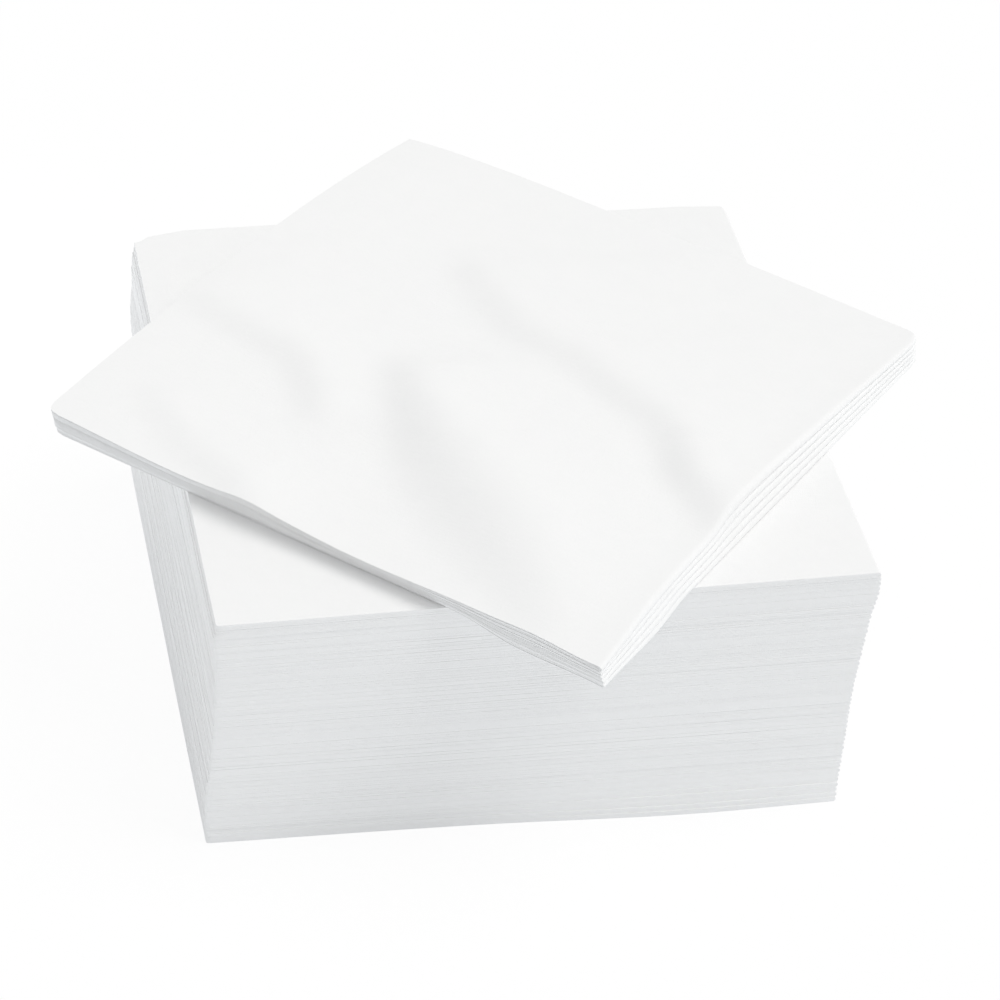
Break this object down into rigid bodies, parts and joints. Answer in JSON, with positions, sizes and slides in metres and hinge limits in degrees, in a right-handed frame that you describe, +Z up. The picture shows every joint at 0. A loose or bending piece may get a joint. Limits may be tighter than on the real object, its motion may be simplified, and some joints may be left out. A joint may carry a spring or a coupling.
{
  "type": "stack of paper napkins",
  "caption": "Block of plain white quarter-folded paper napkins with a thin sheaf of the same napkins lying turned on top.",
  "frame": {"origin": "on the table under the centre of the turned sheaf", "axes": "+Z up; +X to the right along the front side of the block; +Y to the back"},
  "size_m": [0.2347, 0.2344, 0.0892],
  "materials": {
    "tissue": "matt soft tissue"
  },
  "bodies": {
    "root": {"napkin_01": "tissue", "napkin_02": "tissue", "napkin_03": "tissue", "napkin_04": "tissue", "napkin_05": "tissue", "napkin_06": "tissue", "napkin_07": "tissue", "napkin_08": "tissue", "napkin_09": "tissue", "napkin_10": "tissue", "napkin_11": "tissue", "napkin_12": "tissue", "napkin_13": "tissue", "napkin_14": "tissue", "napkin_15": "tissue", "napkin_16": "tissue", "napkin_17": "tissue", "napkin_18": "tissue", "napkin_19": "tissue", "napkin_20": "tissue", "napkin_21": "tissue", "napkin_22": "tissue", "napkin_23": "tissue", "napkin_24": "tissue", "napkin_25": "tissue", "napkin_26": "tissue", "napkin_27": "tissue", "napkin_28": "tissue", "napkin_29": "tissue", "napkin_30": "tissue", "napkin_31": "tissue", "napkin_32": "tissue", "napkin_33": "tissue", "napkin_34": "tissue", "napkin_35": "tissue", "napkin_36": "tissue", "napkin_37": "tissue", "napkin_38": "tissue", "napkin_39": "tissue", "napkin_40": "tissue", "napkin_41": "tissue", "napkin_42": "tissue", "napkin_43": "tissue", "napkin_44": "tissue", "napkin_45": "tissue", "napkin_46": "tissue", "napkin_47": "tissue", "napkin_48": "tissue", "napkin_49": "tissue", "napkin_50": "tissue", "turned_napkin_1": "tissue", "turned_napkin_2": "tissue", "turned_napkin_3": "tissue", "turned_napkin_4": "tissue", "turned_napkin_5": "tissue"}
  },
  "joints": []
}
